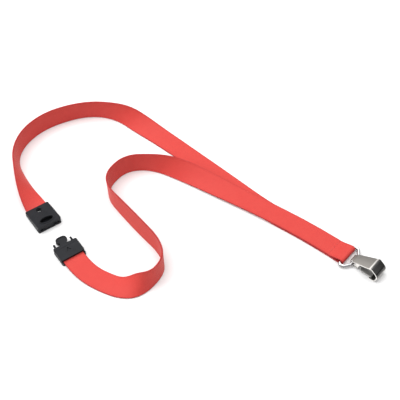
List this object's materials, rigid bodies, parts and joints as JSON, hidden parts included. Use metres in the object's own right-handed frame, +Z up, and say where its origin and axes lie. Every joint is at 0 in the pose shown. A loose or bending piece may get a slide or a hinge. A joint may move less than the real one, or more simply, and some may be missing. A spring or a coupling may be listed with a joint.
{
  "type": "neck lanyard",
  "caption": "Flat woven neck lanyard with a breakaway buckle that is apart, a wire ring and a sprung metal hook.",
  "frame": {"origin": "middle of the lanyard's footprint, on the surface it lies on", "axes": "+Z up from the surface, +X from the ribbon's outer curve towards the hook, +Y from the buckle towards the ribbon's far curve"},
  "size_m": [0.2526, 0.1654, 0.015],
  "materials": {
    "red_ribbon": "woven",
    "red_thread": "twisted",
    "black_plastic": "satin",
    "ring_wire": "polished",
    "hook_steel": "brushed",
    "gate_steel": "satin"
  },
  "bodies": {
    "strap": {"strap_upper": "red_ribbon", "strap_lower": "red_ribbon", "strap_ring_loop": "red_ribbon", "seam_stitches": "red_thread", "socket_base": "black_plastic", "socket_cover": "black_plastic"},
    "plug": {"plug_body": "black_plastic", "plug_cover": "black_plastic", "strap_plug_end": "red_ribbon"},
    "ring": {"ring": "ring_wire"},
    "hook": {"hook_body": "hook_steel", "gate_pin": "hook_steel"},
    "gate": {"hook_gate": "gate_steel"}
  },
  "joints": [
    {"name": "plug_insertion", "type": "slide", "parent": "strap", "child": "plug", "axis": [-0.5736, 0.8192, 0], "range_m": [0, 0.0196]},
    {"name": "ring_swing", "type": "hinge", "parent": "strap", "child": "ring", "pos_m": [0.10225, -0.04982, 0.00215], "axis": [-0.6428, -0.766, 0], "range_deg": [0, 85]},
    {"name": "hook_swing", "type": "hinge", "parent": "ring", "child": "hook", "pos_m": [0.10727, -0.05403, 0.00215], "axis": [-0.6428, -0.766, 0], "range_deg": [0, 85]},
    {"name": "gate_opening", "type": "hinge", "parent": "hook", "child": "gate", "pos_m": [0.10995, -0.05628, 0.00135], "axis": [-0.6428, -0.766, 0], "range_deg": [0, 25], "stiffness_Nm_per_rad": 0.01}
  ]
}
